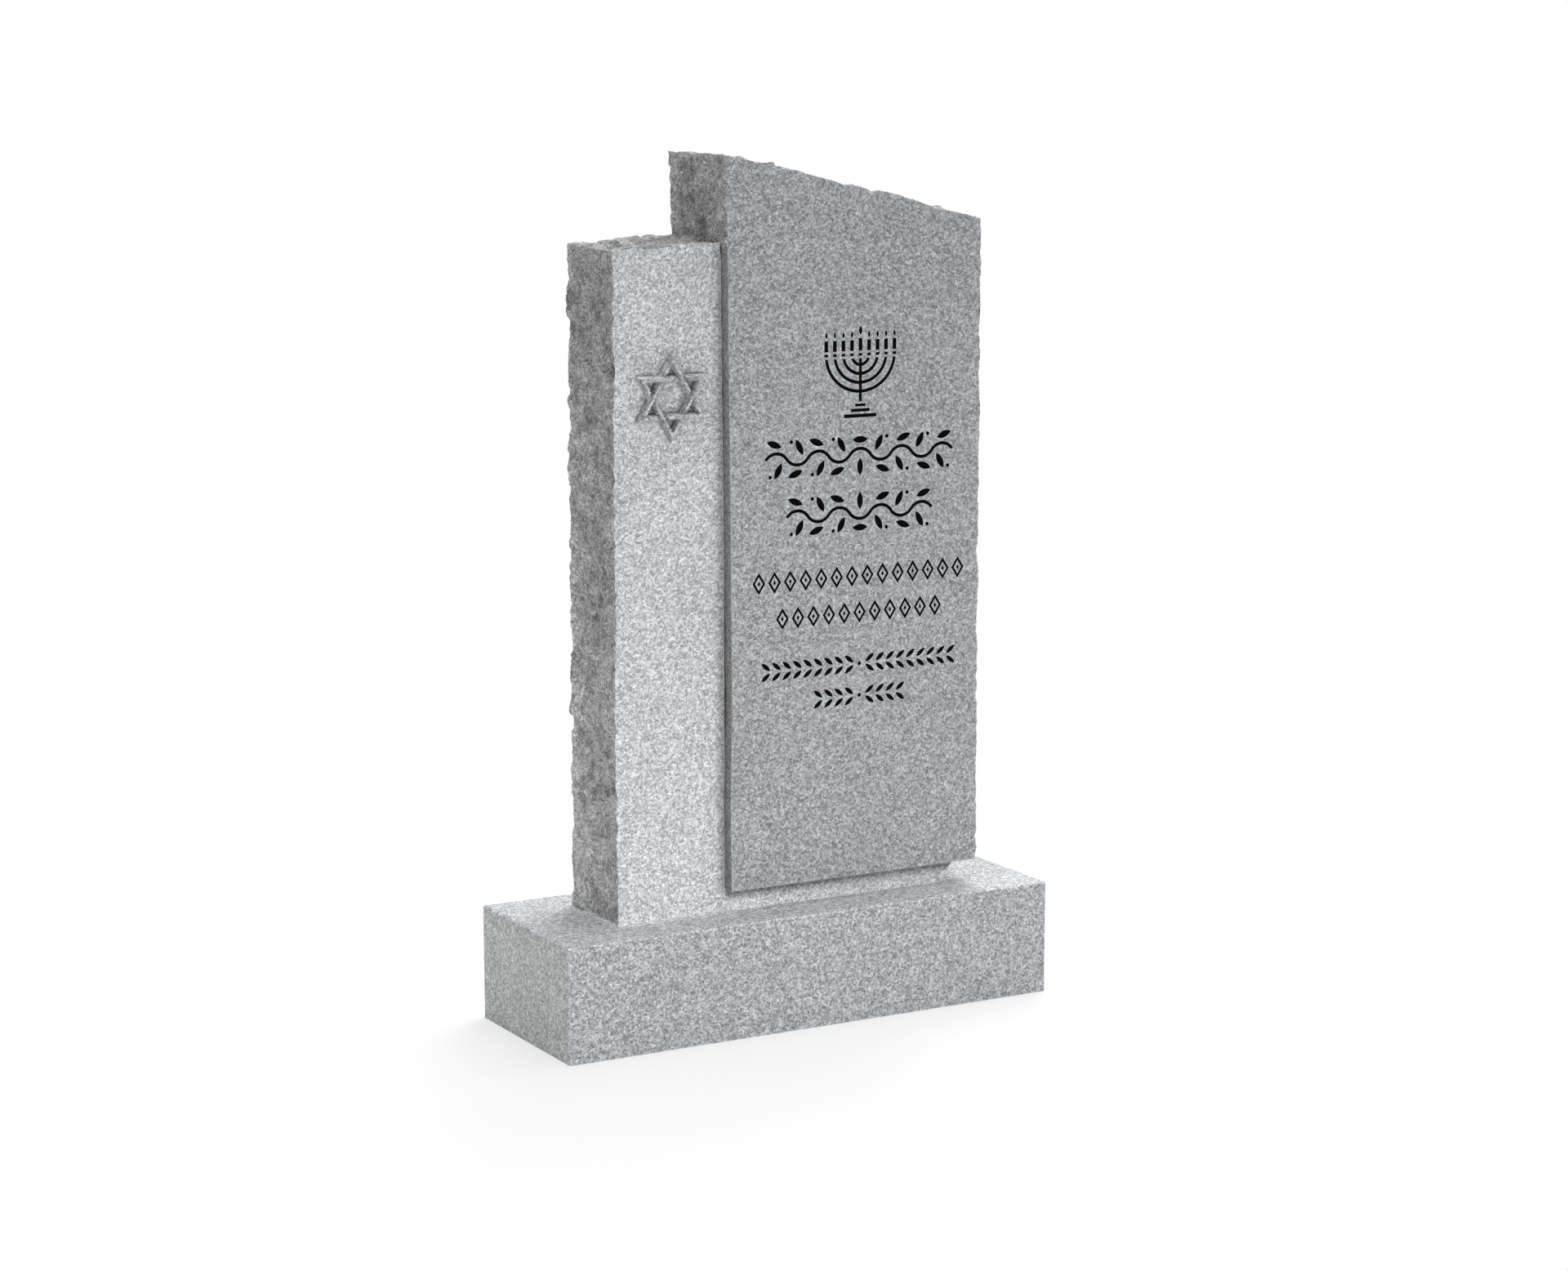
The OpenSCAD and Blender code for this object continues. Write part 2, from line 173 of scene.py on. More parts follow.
# Granite's greys, all in contrasts away from its own grey: the crystals' by their share of the stone,
# how far specks change them, and for mica and for flashes of pale quartz the random value from which a
# speck is one, how much of it covers the rest, and its grey
CRYSTAL_GREYS = ((0.0, -1.0), (0.3, -0.35), (0.7, 0.3), (1.0, 1.0))
SPECK_CHANGE = 0.75
MICA = (0.87, 0.75, -1.5)
FLASH = (0.93, 0.5, 1.4)

# Painted light and shade, and wear: how far painted shade reaches out of inner corners, wear in from
# outer edges, the painted shadow line out from the tablet, and the painted light out of the inner
# corners on the base, the rays that look for all of that, the way that faces with painted shade look,
# and how much painted light makes the stones paler towards their foot, as heights in metres and gains
CORNER_SHADE_REACH = 14 * MM
WEAR_REACH = 3 * MM
LINE_REACH = 18 * MM
CORNER_LIGHT_REACH = 36 * MM
OPENNESS_RAYS = 4
PAINTED_SHADE_WAY = (-0.9, 0.0, -0.35)
FROSTED_FOOT_LIGHT = ((0.149, 2.3), (0.153, 2.02), (0.1575, 1.49), (0.1615, 1.26), (0.167, 1.22),
                 (0.19, 1.16), (0.3, 1.04), (0.5, 0.99))
BROKEN_FOOT_LIGHT = ((0.15, 1.4), (0.35, 1.24), (0.6, 1.06), (0.9, 0.98))

# Black paint in the engraving: sizes of its dusty patches and brush marks, their relief, and its
# specular level
PAINT_DUST = 2.5 * MM
PAINT_MARKS = 1.1 * MM
PAINT_RELIEF = 0.15 * MM
PAINT_SPECULAR = 0.02

# Tints, and places in the endless pattern of the grain where the finishes are taken from
BLUISH = (0.970, 0.995, 1.035)
PALE_BLUE = (0.979, 1.0, 1.021)
NEUTRAL = (1.0, 1.003, 0.996)
GREENISH = (0.984, 1.012, 1.004)
WHITE = (1, 1, 1, 1)
SAWN_PLACE = (0.3, 0.1, 0.7)
FROSTED_PLACE = (1.3, 2.1, 0.2)
STEELED_PLACE = (4.3, 0.6, 3.7)
BROKEN_PLACE = (2.1, 5.2, 1.4)
CARVED_PLACE = (3.3, 1.2, 6.1)

# The studio: lamps with their places, sizes and watts, where they aim, the world's own light, and the
# floor: its half width, the size of its faint patches, and how it fades to white with the distance
LAMPS = (
    ("overhead_lamp", (0.3, 0.2, 3.4), 2.4, 59),
    ("back_right_lamp", (1.8, 1.8, 2.8), 1.8, 62),
    ("right_lamp", (3.0, 0.0, 1.6), 1.6, 34),
    ("left_lamp", (-3.0, -0.6, 1.4), 1.8, 23),
    ("low_front_lamp", (-0.3, -1.5, 0.22), 0.4, 7.5),
)
LAMP_AIM = Vector((0, 0, 0.5))
AMBIENT = 0.36
FLOOR_HALF = 6.0
FLOOR_PATCH = 0.4
FADE_START = 0.4
FADE_END = 1.1
GLOW_NEAR = 0.6

# The camera, fitted to the photograph's edges: its place, its tilt and turn in degrees, and its lens
# and sensor width in millimetres
CAMERA_PLACE = (-2.2148, -3.9542, 1.2774)
CAMERA_TILT = 80.2245
CAMERA_TURN = -29.5175
LENS = 80.92
SENSOR = 36


# ---- outlines of the CAD stones ----

def flat_loops(node, y):
    """The closed outlines, in X-Z, of a CAD node's flat region that faces -Y at depth y. The outer one
    is first, and seen from the front each has the region on its left."""
    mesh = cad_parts[node].data
    ends = {}
    for face in mesh.polygons:
        points = [mesh.vertices[i].co for i in face.vertices]
        if face.normal.y > -FACING or max(abs(p.y - y) for p in points) > ON_FACE:
            continue
        # an edge that two faces share is not on an outline
        keys = [(round(p.x / MM, 2), round(p.z / MM, 2)) for p in points]
        for a, b in zip(keys, keys[1:] + keys[:1]):
            if (b, a) in ends:
                del ends[(b, a)]
            elif a != b:
                ends[(a, b)] = True
    following = {}
    for a, b in ends:
        following.setdefault(a, []).append(b)
    loops = []
    while following:
        point = next(iter(following))
        loop = []
        while point in following:
            loop.append(Vector(point) * MM)
            after = following[point].pop()
            if not following[point]:
                del following[point]
            point = after
        loops.append(loop)
    return sorted(loops, key=area, reverse=True)


def area(loop):
    """Signed area of a closed outline, positive when it runs anticlockwise seen from the front."""
    return sum(a.cross(b) for a, b in zip(loop, loop[1:] + loop[:1])) / 2


def resampled(loop, step_at):
    """The outline with points added so that no edge is longer than the step at its middle."""
    points = []
    for a, b in zip(loop, loop[1:] + loop[:1]):
        count = max(1, math.ceil((b - a).length / step_at((a + b) / 2)))
        points += [a.lerp(b, i / count) for i in range(count)]
    return points


def outward(points):
    """Unit normals that point out of an anticlockwise outline, turned smoothly round its corners."""
    edges = [b - a for a, b in zip(points, points[1:] + points[:1])]
    nudge = 1e-9  # moves on past an edge of no length
    normals = []
    for i in range(len(points)):
        total = Vector((0, 0))
        for side in (1, -1):
            gone = 0
            k = i if side == 1 else i - 1
            while gone < CORNER_REACH:
                edge = edges[k % len(edges)]
                part = min(edge.length, CORNER_REACH - gone)
                total += Vector((edge.y, -edge.x)).normalized() * part
                gone += part + nudge
                k += side
        normals.append(total.normalized())
    return normals


# ---- broken surfaces ----

def smooth(value, low, high):
    """0 up to low, 1 from high on, and a smooth rise in between."""
    t = min(1.0, max(0.0, (value - low) / (high - low)))
    return t * t * (3 - 2 * t)


def drift(p):
    """A smooth vector that wanders with the place, about -1 to 1 along each axis."""
    return Vector([noise.noise(p + offset) for offset in DRIFT_OFFSETS])


def facets(p, size, seed):
    """Height, about 0 to 1, of a surface of tilted flat facets of that size."""
    place = p / size + Vector([seed * way for way in SEED_WAY])
    place += FACET_WANDER * drift(place * WANDER_RATE)
    near, points = noise.voronoi(place)
    heights = []
    for point in points[:2]:
        tilt = noise.cell_vector(point * FACET_SPREAD) * 2 - Vector((1, 1, 1))
        heights.append(0.5 + FACET_LEVEL * tilt.x + FACET_SLOPE * tilt.dot(place - point))
    share = 0.5 + 0.5 * smooth(near[1] - near[0], 0, FACET_SEAM)
    return heights[1] + (heights[0] - heights[1]) * share


def pitched(p, seed):
    """Depth of the rock-pitched surface below its plane at a point."""
    depth = FACET_DEPTH * facets(p, FACET, seed)
    depth += DENT_DEPTH * facets(p, DENT, seed + DENT_SEED)
    depth += GRIT_DEPTH * noise.noise(p / GRIT)
    return depth - RIDGE


def chips(p, seed):
    """Depth of the small chips along an arris at a point, in shares of their full depth."""
    return max(0.0, noise.fractal(p / CHIP + Vector((seed, 0, 0)), *CHIP_NOISE) + CHIP_COVER)


def mover(rough_at, box, y_front, y_back, seed, arris_at=lambda point: SAWN_ARRIS,
          lean_at=lambda point, back: Vector((0, 0))):
    """Moves an outline's point for one ring: pitched where rough_at() says so, cut back and chipped
    at the front and back arrises, and shifted by lean_at(), where back goes from 0 at the front to 1
    at the back. Nothing goes under the foot or over the top of the box."""
    foot_z, top_z = box[0].z, box[1].z

    def move(point, normal, y):
        share = rough_at(point)
        p = Vector((point.x, y, point.y))
        keep = FRONT_SHARE + (1 - FRONT_SHARE) * smooth(y - y_front, 0, ARRIS_REACH)
        keep *= BACK_SHARE + (1 - BACK_SHARE) * smooth(y_back - y, 0, ARRIS_REACH)
        cut = share * keep * pitched(p, seed) if share else 0.0
        chip = SAWN_CHIP_DEPTH + (CHIP_DEPTH - SAWN_CHIP_DEPTH) * share
        edge = min(y - y_front, y_back - y) / ARRIS_DEPTH
        cut += (arris_at(point) + chip * chips(p, seed)) * max(0.0, 1 - edge)
        moved = point - normal * cut + lean_at(point, (y - y_front) / (y_back - y_front))
        z = min(top_z, max(foot_z, moved.y))
        if point.y <= foot_z + ON_FACE:
            z = foot_z
        return Vector((moved.x, y, z))
    return move


# ---- meshes ----

def filled(loops):
    """Triangles between closed outlines, by the even-odd rule, as indices into their joined points."""
    points, edges = [], []
    for loop in loops:
        first = len(points)
        points += loop
        edges += [(first + i, first + (i + 1) % len(loop)) for i in range(len(loop))]
    whole_hull, same_point = 0, 1e-7
    out = delaunay_2d_cdt(points, edges, [], whole_hull, same_point, True)
    source = [ids[0] for ids in out[3]]
    faces = np.array([[source[i] for i in face] for face in out[2]])
    flat = np.array([tuple(p) for p in points])
    # a triangle is inside if a ray from its middle crosses the outlines an odd number of times
    middle = flat[faces].mean(axis=1)
    inside = np.zeros(len(faces), bool)
    for a, b in edges:
        (ax, ay), (bx, by) = flat[a], flat[b]
        if ay == by:
            continue
        level = (middle[:, 1] > min(ay, by)) & (middle[:, 1] <= max(ay, by))
        cross = ax + (middle[:, 1] - ay) * (bx - ax) / (by - ay)
        inside ^= level & (middle[:, 0] < cross)
    return [tuple(int(i) for i in face) for face in faces[inside]]


def between(ring, following):
    """Quads between two closed rings of as many points, both given as indices."""
    quads = []
    for i in range(len(ring)):
        j = (i + 1) % len(ring)
        quads.append((ring[i], following[i], following[j], ring[j]))
    return quads


def run(first, count):
    """The indices of so many points in a row."""
    return range(first, first + count)


def at_depth(loop, y):
    return [Vector((p.x, y, p.y)) for p in loop]


def front_view(points):
    return [Vector((p.x, p.z)) for p in points]


def depths(y_front, y_back, step):
    """Depths of the rings of a stone's sides, close together behind each arris."""
    start = y_front + ARRIS_RINGS[-1] + step
    middle = (y_back - y_front) - 2 * (ARRIS_RINGS[-1] + step)
    count = max(1, round(middle / step))
    front = [y_front + depth for depth in ARRIS_RINGS]
    inner = [start + middle * i / count for i in range(count + 1)]
    back = [y_back - depth for depth in reversed(ARRIS_RINGS)]
    return front + inner + back


def new_piece(name, vertices, faces, materials, slots, smooth_faces):
    mesh = bpy.data.meshes.new(name)
    mesh.from_pydata([tuple(v) for v in vertices], [], faces)
    for material in materials:
        mesh.materials.append(material)
    mesh.polygons.foreach_set("material_index", slots)
    mesh.polygons.foreach_set("use_smooth", smooth_faces)
    mesh.update()
    piece = bpy.data.objects.new(name, mesh)
    bpy.context.scene.collection.objects.link(piece)
    return piece


def slab(name, outline, y_front, y_back, move, finish_at, materials, holes=(), floor_y=None, step=STEP):
    """A closed stone: its sides follow the outline, moved ring by ring by move(), and its front, which
    has recesses with the outlines of holes, and its back are flat. finish_at() gives the number of
    the sides' material at a point of the outline."""
    count = len(outline)
    rings = depths(y_front, y_back, step)
    normals = outward(outline)
    vertices = [move(point, normal, y) for y in rings for point, normal in zip(outline, normals)]
    finish = [finish_at(point) for point in outline]
    side_slots = [min(a, b) for a, b in zip(finish, finish[1:] + finish[:1])]
    faces = []
    for r in range(len(rings) - 1):
        faces += between(run(r * count, count), run((r + 1) * count, count))
    sides = len(faces)

    # front, with the recesses' outlines left open
    hole_points = [p for hole in holes for p in hole]
    upper = len(vertices)
    vertices += at_depth(hole_points, y_front)
    index = [*run(0, count), *run(upper, len(hole_points))]
    front = filled([front_view(vertices[:count]), *holes])
    faces += [tuple(index[i] for i in face) for face in front]

    # walls and floors of the recesses
    lower = len(vertices)
    vertices += at_depth(hole_points, floor_y)
    start = 0
    for hole in holes:
        faces += between(run(upper + start, len(hole)), run(lower + start, len(hole)))
        start += len(hole)
    if holes:
        faces += [tuple(lower + i for i in face) for face in filled(holes)]

    # back
    last = (len(rings) - 1) * count
    back = filled([front_view(vertices[last:last + count])])
    faces += [tuple(last + i for i in reversed(face)) for face in back]

    flat = len(faces) - sides
    slots = side_slots * (len(rings) - 1) + [0] * flat
    piece = new_piece(name, vertices, faces, materials, slots, [True] * sides + [False] * flat)
    piece.data.set_sharp_from_angle(angle=SHARP_ANGLE)
    return piece


# ---- materials ----

class Graph:
    """The nodes of a new material or world."""

    def __init__(self, owner, shader="Principled BSDF"):
        owner.use_nodes = True
        self.owner = owner
        self.tree = owner.node_tree
        self.shader = self.tree.nodes[shader]

    def node(self, kind, inputs=(), **settings):
        made = self.tree.nodes.new(kind)
        for key, value in settings.items():
            setattr(made, key, value)
        for socket, value in dict(inputs).items():
            self.feed(made.inputs[socket], value)
        return made

    def feed(self, socket, value):
        if isinstance(value, bpy.types.NodeSocket):
            self.tree.links.new(value, socket)
        else:
            socket.default_value = value

    def math(self, operation, *values):
        return self.node("ShaderNodeMath", dict(enumerate(values)), operation=operation).outputs[0]

    def vector(self, operation, *values):
        """The result of a vector operation, which is a number for a length or a dot product."""
        made = self.node("ShaderNodeVectorMath", dict(enumerate(values)), operation=operation)
        return made.outputs["Value" if operation in ("LENGTH", "DOT_PRODUCT") else "Vector"]

    def axes(self, vector):
        return self.node("ShaderNodeSeparateXYZ", {"Vector": vector}).outputs

    def mapped(self, value, low=0.0, high=1.0, to_low=0.0, to_high=1.0, **settings):
        """A value that runs from low to high, made to run from to_low to to_high."""
        return self.node("ShaderNodeMapRange", {
            "Value": value, "From Min": low, "From Max": high, "To Min": to_low, "To Max": to_high,
        }, **settings).outputs[0]

    def ramp(self, factor, stops):
        """The colour at the factor's place among (place, colour) stops."""
        made = self.node("ShaderNodeValToRGB", {"Fac": factor})
        elements = made.color_ramp.elements
        while len(elements) < len(stops):
            elements.new(0.5)
        for element, (place, color) in zip(elements, stops):
            element.position = place
            element.color = color
        return made.outputs["Color"]

    def mixed(self, factor, a, b, blend="MIX"):
        """Two colours mixed. A Mix node's colour sockets share their names with others, so they go by
        number."""
        inputs = {"Factor": factor, 6: a, 7: b}
        return self.node("ShaderNodeMix", inputs, data_type="RGBA", blend_type=blend).outputs[2]

    def times(self, a, b):
        return self.mixed(1.0, a, b, "MULTIPLY")

    def greys(self, factor, stops):
        """The grey at the factor's place among (place, value) stops, which may be over 1 as gains."""
        return self.ramp(factor, [(at, grey(value)) for at, value in stops])

    def noise(self, place, size, detail, roughness=0.5):
        return self.node("ShaderNodeTexNoise", {
            "Vector": place, "Scale": 1 / size, "Detail": detail, "Roughness": roughness}).outputs

    def cells(self, place, size):
        """Three random values for each cell of that size."""
        color = self.node("ShaderNodeTexVoronoi", {"Vector": place, "Scale": 1 / size}).outputs["Color"]
        return self.node("ShaderNodeSeparateColor", {"Color": color}).outputs

    def openness(self, reach, inside=False):
        """1 where nothing is within reach, and less in inner corners, or with inside, on outer edges."""
        made = self.node("ShaderNodeAmbientOcclusion", {"Distance": reach}, samples=OPENNESS_RAYS,
                         inside=inside)
        return made.outputs["AO"]

    def finish(self, color, rough, heights, relief, specular):
        """Gives the shader its colour, roughness, bumps of that relief and specular level."""
        self.feed(self.shader.inputs["Base Color"], color)
        self.feed(self.shader.inputs["Roughness"], rough)
        bump = self.node("ShaderNodeBump", {"Height": heights, "Strength": 1.0, "Distance": relief})
        self.feed(self.shader.inputs["Normal"], bump.outputs["Normal"])
        self.shader.inputs["Specular IOR Level"].default_value = specular


def grey(value, tint=(1.0, 1.0, 1.0)):
    return tuple(value * t for t in tint) + (1,)


def varied(g, body, factor, spread):
    """The colour made darker and paler by up to spread, as factor goes from 0 to 1."""
    return g.times(body, g.greys(factor, [(0.0, 1 - spread), (1.0, 1 + spread)]))


def granite(name, light, contrast, tint, place, pit=0.25 * MM, roughness=(0.55, 0.85), mottle=0.03,
            wear=(0.5, 1.6), extras=()):
    """Fine grey granite: pale feldspar, quartz and small dark mica grains, with pale worn edges. light
    is its grey and contrast how far its crystals leave that, place where its pattern is taken from,
    pit the depth of its surface, mottle how much its clouds differ, wear how much the edges show and
    how pale they are against the rest, and extras are functions that give more greys to multiply in,
    from the graph and the place."""
    g = Graph(bpy.data.materials.new(name))
    origin = g.node("ShaderNodeTexCoord").outputs["Object"]
    there = g.node("ShaderNodeMapping", {"Vector": origin, "Location": place}).outputs[0]
    warp = g.vector("SUBTRACT", g.noise(there, GRAIN, 1.0)["Color"], (0.5, 0.5, 0.5))
    bent = g.vector("MULTIPLY_ADD", warp, (GRAIN, GRAIN, GRAIN), there)
    crystals = g.cells(bent, GRAIN)
    specks = g.cells(bent, SPECK)

    def shade(change):
        """The granite's grey, changed by so many contrasts."""
        return grey(min(PALEST, light * (1 + change * contrast)), tint)

    body = g.ramp(crystals[0], [(share, shade(change)) for share, change in CRYSTAL_GREYS])
    body = varied(g, body, specks[0], SPECK_CHANGE * contrast)
    for chance, (rarity, cover, change) in ((specks[1], MICA), (specks[2], FLASH)):
        covered = g.math("MULTIPLY", g.math("GREATER_THAN", chance, rarity), cover)
        body = g.mixed(covered, body, shade(change))
    body = varied(g, body, g.mapped(g.noise(there, CLOUD, 3.0)["Fac"], 0.3, 0.7), mottle)
    for extra in extras:
        body = g.times(body, extra(g, origin))
    worn, paler = wear
    edge = g.math("SUBTRACT", 1.0, g.openness(WEAR_REACH, inside=True))
    body = g.mixed(g.math("MULTIPLY", edge, worn), body, grey(min(PALEST, light * paler), tint))

    heights = g.math("MULTIPLY_ADD", g.noise(there, PITS, 3.0)["Fac"], PIT_SHARE,
                     g.math("MULTIPLY", crystals[2], CRYSTAL_SHARE))
    rough = g.mapped(crystals[1], to_low=roughness[0], to_high=roughness[1])
    g.finish(body, rough, heights, pit, GRANITE_SPECULAR)
    return g.owner


def corner_painted_shade(g, place):
    """Painted shade: darker towards inner corners."""
    return g.greys(g.openness(CORNER_SHADE_REACH), [(0.3, 0.5), (0.55, 0.75), (0.85, 0.98), (1.0, 1.0)])


def facing_painted_light_and_shade(g, place):
    """Painted shade on faces that look left and down, and painted light on faces that look up."""
    normal = g.node("ShaderNodeNewGeometry").outputs["Normal"]
    turned = g.vector("DOT_PRODUCT", normal, PAINTED_SHADE_WAY)
    shade_part = g.greys(turned, [(0.0, 1.0), (0.25, 0.88), (0.6, 0.66), (0.95, 0.6)])
    light_part = g.greys(g.axes(normal)[2], [(0.55, 1.0), (0.9, 1.5)])
    return g.times(shade_part, light_part)


def foot_painted_light(gains):
    """Painted light by height: a gain from (height in metres, gain) pairs, lowest first."""
    return lambda g, place: g.greys(g.axes(place)[2], gains)


def tablet_shadow_line(g, place):
    """Painted shade right beside the raised tablet, and a painted shadow line under it."""
    at = g.axes(place)
    beside = g.math("MAXIMUM", g.math("SUBTRACT", TABLET_FOOT_X, at[0]), 0.0)
    below = g.math("MAXIMUM", g.math("SUBTRACT", TABLET_FOOT, at[2]), 0.0)
    squares = g.math("ADD", g.math("MULTIPLY", beside, beside), g.math("MULTIPLY", below, below))
    side_line = g.greys(g.math("DIVIDE", g.math("SQRT", squares), LINE_REACH), [
        (0.0, 0.62), (0.2, 0.66), (0.4, 0.77), (0.6, 0.91), (1.0, 1.0)])
    under_line = g.greys(g.math("DIVIDE", below, LINE_REACH), [
        (0.0, 0.3), (0.47, 0.38), (0.58, 0.6), (0.7, 0.67), (0.8, 0.81), (1.0, 1.0)])
    barely = 0.1 * MM
    is_under = g.math("MULTIPLY", g.math("GREATER_THAN", below, 0.0), g.math("LESS_THAN", beside, barely))
    return g.mixed(is_under, side_line, under_line)


def paler_rear(g, place):
    """Paler over the rear two fifths of the stone's depth."""
    back = g.mapped(g.axes(place)[1], WING_FACE_Y, BACK_Y)
    return g.greys(back, [(0.1, 1.0), (0.6, 1.0), (0.85, 1.16), (1.0, 1.24)])


def corner_painted_light(g, place):
    """Painted light: paler towards inner corners."""
    return g.greys(g.openness(CORNER_LIGHT_REACH), [(0.2, 2.0), (0.4, 1.56), (0.6, 1.2), (0.9, 1.0)])


def blotches(g, place):
    """Dark and pale patches of a broken face."""
    patch = g.mapped(g.noise(place, BLOTCH, 4.0, 0.6)["Fac"], 0.36, 0.64)
    return g.greys(patch, [(0.0, 0.52), (0.3, 0.76), (0.6, 0.9), (1.0, 1.0)])


def enamel(name):
    """Black stone paint in the engraving: matt, thinly brushed, with a little stone dust on it."""
    g = Graph(bpy.data.materials.new(name))
    place = g.node("ShaderNodeTexCoord").outputs["Object"]
    dust = g.noise(place, PAINT_DUST, 4.0)["Fac"]
    color = g.greys(dust, [(0.35, 0.0015), (0.62, 0.003), (0.8, 0.008)])
    rough = g.mapped(dust, to_low=0.6, to_high=0.85)
    g.finish(color, rough, g.noise(place, PAINT_MARKS, 3.0)["Fac"], PAINT_RELIEF, PAINT_SPECULAR)
    return g.owner


SAWN = granite("sawn_granite_grain", light=0.415, contrast=0.42, tint=BLUISH, place=SAWN_PLACE)
# Painted light: the base's top is a paler copy of the sawn granite, for the light that falls on it
SAWN_TOP_PAINTED_LIGHT = granite("sawn_granite_top_painted_light", light=0.545, contrast=0.42, tint=BLUISH, place=SAWN_PLACE,
                   extras=(corner_painted_light,))
# Painted light: a paler, greener copy of the sawn granite for the base's left side
SAWN_LEFT_PAINTED_LIGHT = granite("sawn_granite_left_painted_light", light=0.44, contrast=0.36, tint=GREENISH,
                      place=SAWN_PLACE)
# Painted shade in inner corners, a painted shadow line beside and under the tablet, and painted light
# towards the foot
FROSTED = granite("frosted_granite_grain", light=0.565, contrast=0.37, tint=PALE_BLUE,
                  place=FROSTED_PLACE, pit=0.4 * MM, roughness=(0.75, 0.95),
                  extras=(corner_painted_shade, foot_painted_light(FROSTED_FOOT_LIGHT), tablet_shadow_line))
STEELED = granite("steeled_granite_grain", light=0.355, contrast=0.43, tint=BLUISH,
                  place=STEELED_PLACE, pit=0.12 * MM, roughness=(0.4, 0.7))
# Painted shade in inner corners and painted light towards the foot
BROKEN = granite("broken_granite_grain", light=0.345, contrast=0.44, tint=NEUTRAL,
                 place=BROKEN_PLACE, pit=0.7 * MM, roughness=(0.6, 0.95), mottle=0.1,
                 extras=(corner_painted_shade, foot_painted_light(BROKEN_FOOT_LIGHT), paler_rear, blotches))
# Painted shade: a dark copy of the granite for the tablet's left side in front of the wing, which lies in
# shade
REVEAL_PAINTED_SHADE = granite("reveal_granite_painted_shade", light=0.2, contrast=0.4, tint=NEUTRAL, place=BROKEN_PLACE,
                 wear=(0.5, 2.2), extras=(corner_painted_shade,))
# Painted shade on the star's faces that look left and down, and painted light on those that look up
CARVED = granite("carved_granite_grain", light=0.46, contrast=0.42, tint=PALE_BLUE, place=CARVED_PLACE,
                 pit=0.4 * MM, roughness=(0.75, 0.95), wear=(0.4, 1.3), extras=(facing_painted_light_and_shade,))
PAINT = enamel("black_stone_paint")


# ---- the stones ----

def ride(piece, slot, *nodes):
    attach(piece, "root")
    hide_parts(*nodes)


def build_base():
    low, high = BASE
    ease = BASE_ARRIS
    corners = [
        (low.x, low.z), (high.x, low.z), (high.x, high.z - ease), (high.x - ease, high.z),
        (low.x + ease, high.z), (low.x, high.z - ease)]
    points = resampled([Vector(p) for p in corners], lambda point: BASE_STEP)
    move = mover(lambda point: 0.0, BASE, low.y, high.y, BASE_SEED, lambda point: BASE_ARRIS)

    def worn(point, normal, y):
        """Chips the two upper arrises that run front to back as well."""
        place = move(point, normal, y)
        from_arris = abs(abs(point.x) - high.x) + abs(point.y - high.z)
        if from_arris < 2 * ease:
            chip = SAWN_CHIP_DEPTH * chips(place, BASE_CORNER_SEED)
            place -= Vector((normal.x, 0, normal.y)) * chip
        return place

    def finish_at(point):
        # the top gets the painted-light copy, the left side its own painted-light copy
        if point.y > high.z - ON_FACE:
            return 1
        return 2 if point.x < low.x + ON_FACE else 0

    piece = slab("base_block_sawn", points, low.y, high.y, worn, finish_at,
                 [SAWN, SAWN_TOP_PAINTED_LIGHT, SAWN_LEFT_PAINTED_LIGHT], step=BASE_RING_STEP)
    ride(piece, "sawn_granite", "base_stone")


def build_wing():
    outline = flat_loops("wing_stone", WING_FACE_Y)[0]
    left, foot = WING[0].x, WING[0].z
    column_right = TABLET[0].x

    def in_end_part(point):
        return point.x > column_right + LEDGE_END

    def rough_at(point):
        if in_end_part(point) and foot + ON_SIDE < point.y < TABLET_FOOT - ON_SIDE:
            return END_ROUGHNESS
        on_left = point.x < left + ON_SIDE
        on_top = point.y > WING_TOP - TOP_BAND
        return 1.0 if on_left or on_top else 0.0

    def arris_at(point):
        left_of_joint, below_joint = JOINT_BAND
        at_joint = point.x > column_right - left_of_joint and point.y > TABLET_FOOT - below_joint
        return JOINT_ARRIS if at_joint else SAWN_ARRIS

    def lean_at(point, back):
        if in_end_part(point):
            return Vector((END_SWELL, 0))
        height = max(0.0, point.y - WING_TOP + TOP_BAND) / TOP_BAND
        lift = WING_BACK_LIFT * smooth(height, 0, LIFT_BEGINS) * back
        return Vector((0, lift - WING_TOP_FALL * height * (1 - back)))

    points = resampled(outline, lambda point: STEP if rough_at(point) else FLAT_STEP)
    move = mover(rough_at, WING, WING_FACE_Y, BACK_Y, WING_SEED, arris_at, lean_at)
    piece = slab("wing_stone_rock_pitched", points, WING_FACE_Y, BACK_Y, move,
                 lambda point: int(rough_at(point)), [FROSTED, BROKEN])
    ride(piece, "frosted_granite", "wing_stone")


